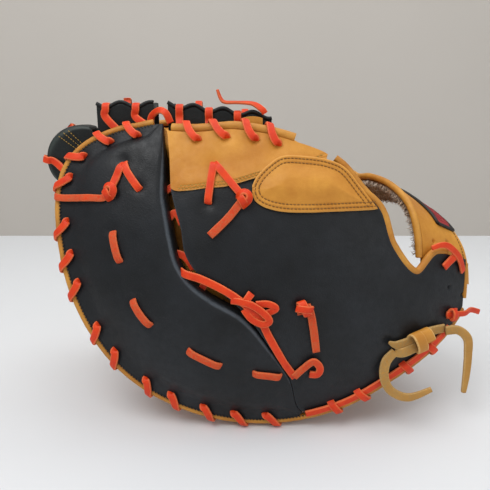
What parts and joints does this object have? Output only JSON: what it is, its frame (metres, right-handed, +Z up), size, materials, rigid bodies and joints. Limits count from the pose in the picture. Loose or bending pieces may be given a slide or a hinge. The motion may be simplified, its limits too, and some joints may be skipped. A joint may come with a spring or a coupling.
{
  "type": "first baseman mitt",
  "caption": "Left-hand first base mitt with black leather back, tan palm, welting and wrist strap, laced web, and orange whipped lacing, standing on its laced edges.",
  "frame": {"origin": "middle of the bottom of the mitt without the heel thong's free ends, on the floor that its laced edges rest on", "axes": "+Z up, +X from the finger tips to the wrist, +Y from the finger side to the thumb side"},
  "size_m": [0.364, 0.1886, 0.2585],
  "materials": {
    "black_leather": "soft semi-matte grain",
    "tan_leather": "semi-matte grain",
    "lace": "smooth rawhide lace",
    "thong": "rough undyed thong",
    "fleece": "curly pile",
    "badge": "woven badge"
  },
  "bodies": {
    "root": {"back_rim": "black_leather", "hand_back": "black_leather", "thumb_back": "black_leather", "web_bar_left": "black_leather", "web_bar_right": "black_leather", "web_tip": "black_leather", "index_panel": "tan_leather", "finger_pad": "tan_leather", "palm": "tan_leather", "rim_welt": "tan_leather", "top_welt": "tan_leather", "thumb_welt": "tan_leather", "back_binding": "tan_leather", "roof_binding": "tan_leather", "thumb_binding": "tan_leather", "heel_binding": "tan_leather", "wrist_strap": "tan_leather", "strap_binding": "tan_leather", "web_tab": "tan_leather", "rim_lacing": "lace", "top_lacing": "lace", "thumb_lacing": "lace", "heel_lacing": "lace", "tie_1": "lace", "tie_2": "lace", "tie_3": "lace", "tie_4": "lace", "tip_lace": "lace", "index_lace": "lace", "slot_lace": "lace", "palm_lace": "lace", "fold_lace": "lace", "strap_lace": "lace", "heel_lace_end": "lace", "top_lace_end": "lace", "web_arch": "lace", "web_lace_1": "lace", "web_lace_2": "lace", "web_lace_3": "lace", "web_lace_4": "lace", "web_lace_5": "lace", "web_lace_6": "lace", "web_lace_7": "lace", "web_lace_8": "lace", "web_lace_9": "lace", "web_lace_10": "lace", "heel_tie": "thong", "heel_tie_end_a": "thong", "heel_tie_end_b": "thong", "strap_fleece": "fleece", "strap_patch": "badge"}
  },
  "joints": []
}
